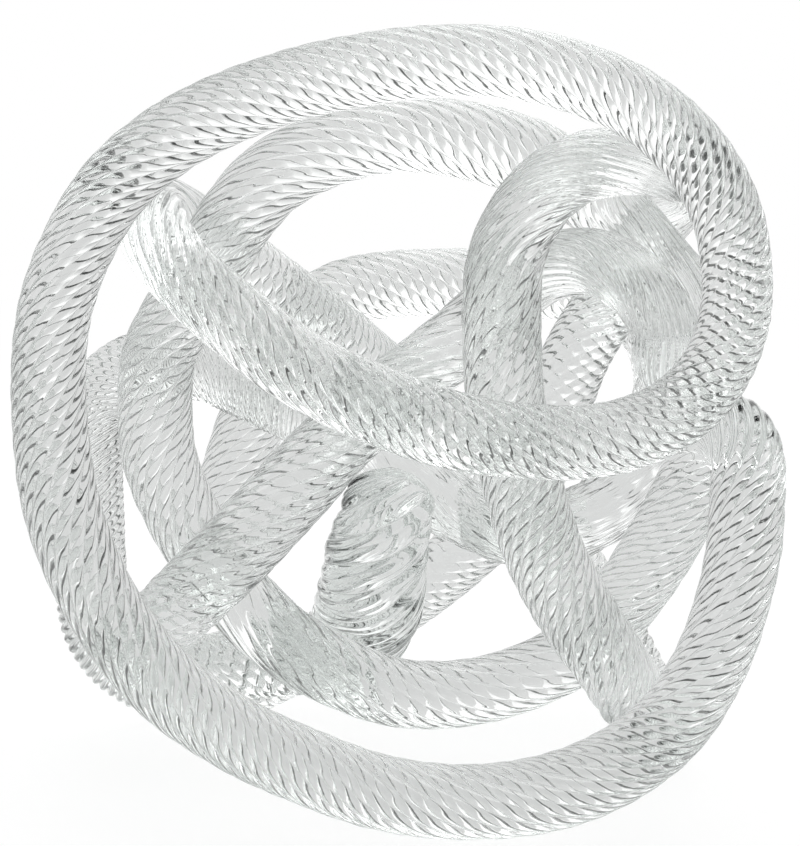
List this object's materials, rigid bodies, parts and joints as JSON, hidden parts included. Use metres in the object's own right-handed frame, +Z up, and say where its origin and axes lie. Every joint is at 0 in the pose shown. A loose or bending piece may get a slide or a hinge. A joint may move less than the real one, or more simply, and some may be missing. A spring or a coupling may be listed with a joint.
{
  "type": "glass rope knot sculpture",
  "caption": "Clear glass sculpture for a shelf or desk: a thick ribbed glass rope bent into an open, roughly round knot that stands upright on its ground lower bends.",
  "frame": {"origin": "centre of the footprint box, on the surface that the feet stand on", "axes": "+Z up, +X to the right across the front, -Y towards the viewer of the front"},
  "size_m": [0.2536, 0.1766, 0.2582],
  "materials": {
    "clear_glass": "clear, fire-polished, ribbed, with a faint grey-green tint"
  },
  "bodies": {
    "root": {"closing_end": "clear_glass", "front_left_rise": "clear_glass", "inner_right_turn": "clear_glass", "inner_top_arc": "clear_glass", "inner_left_arc": "clear_glass", "inner_lower_arc": "clear_glass", "inner_right_rise": "clear_glass", "ring_lower": "clear_glass", "ring_upper": "clear_glass", "front_crossover": "clear_glass", "back_diagonal": "clear_glass", "lower_right_turn": "clear_glass", "front_right_rise": "clear_glass", "back_drop": "clear_glass", "lower_left_turn": "clear_glass", "behind_arc": "clear_glass", "far_back_arc": "clear_glass"}
  },
  "joints": []
}
